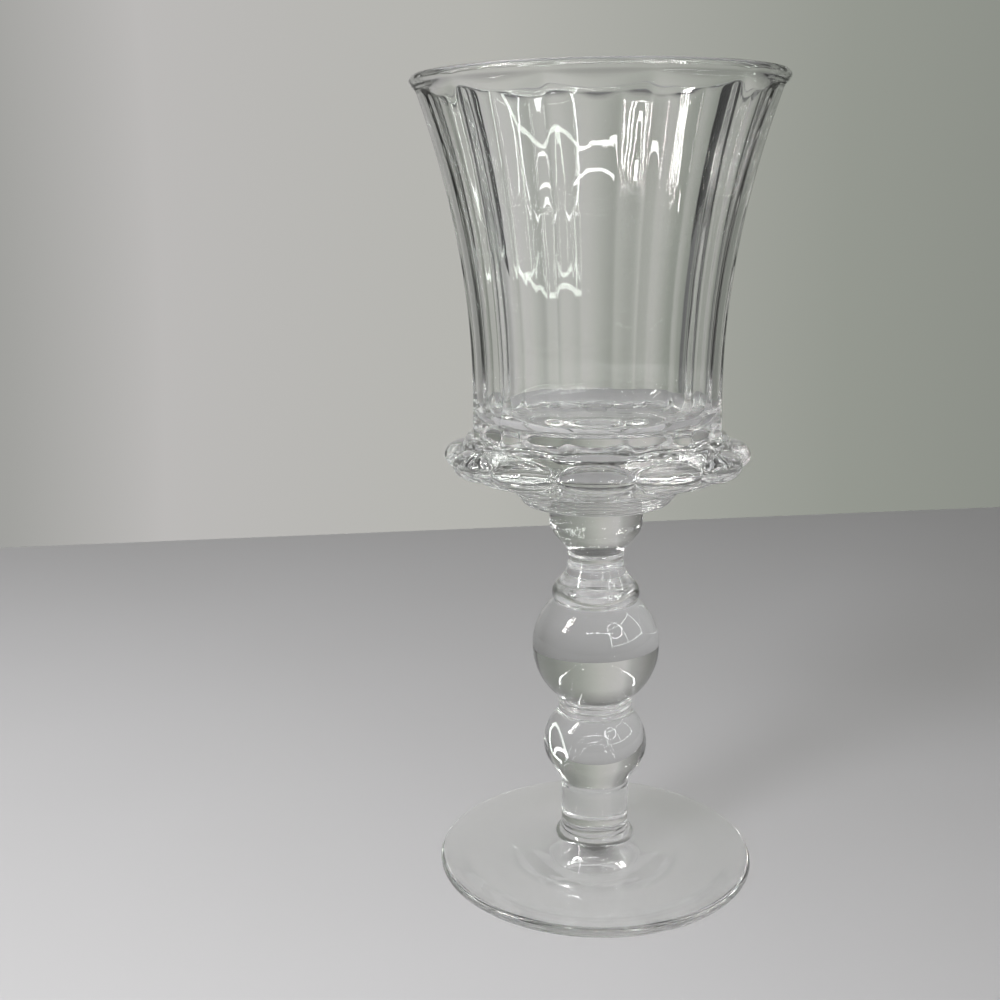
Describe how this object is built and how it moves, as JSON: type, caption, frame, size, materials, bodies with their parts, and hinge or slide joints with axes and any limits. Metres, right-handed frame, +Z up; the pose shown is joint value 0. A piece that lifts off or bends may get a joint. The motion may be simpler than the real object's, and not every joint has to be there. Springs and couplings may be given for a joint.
{
  "type": "water goblet",
  "caption": "Clear pressed-glass water goblet with a flared panelled bowl, a beaded collar, a knopped stem and a round foot.",
  "frame": {"origin": "middle of the foot, at the level it rests on", "axes": "+Z up along the stem towards the rim, -Y towards the middle of one bowl panel and one bead"},
  "size_m": [0.082, 0.082, 0.1849],
  "materials": {
    "clear_glass": "fire-polished clear glass with a faint grey-green cast"
  },
  "bodies": {
    "root": {"foot": "clear_glass", "post": "clear_glass", "baluster_knop": "clear_glass", "lower_neck": "clear_glass", "ball_knop": "clear_glass", "ring_knop": "clear_glass", "cup_knop": "clear_glass", "wafer_plate": "clear_glass", "bead_collar": "clear_glass", "bowl": "clear_glass"}
  },
  "joints": []
}
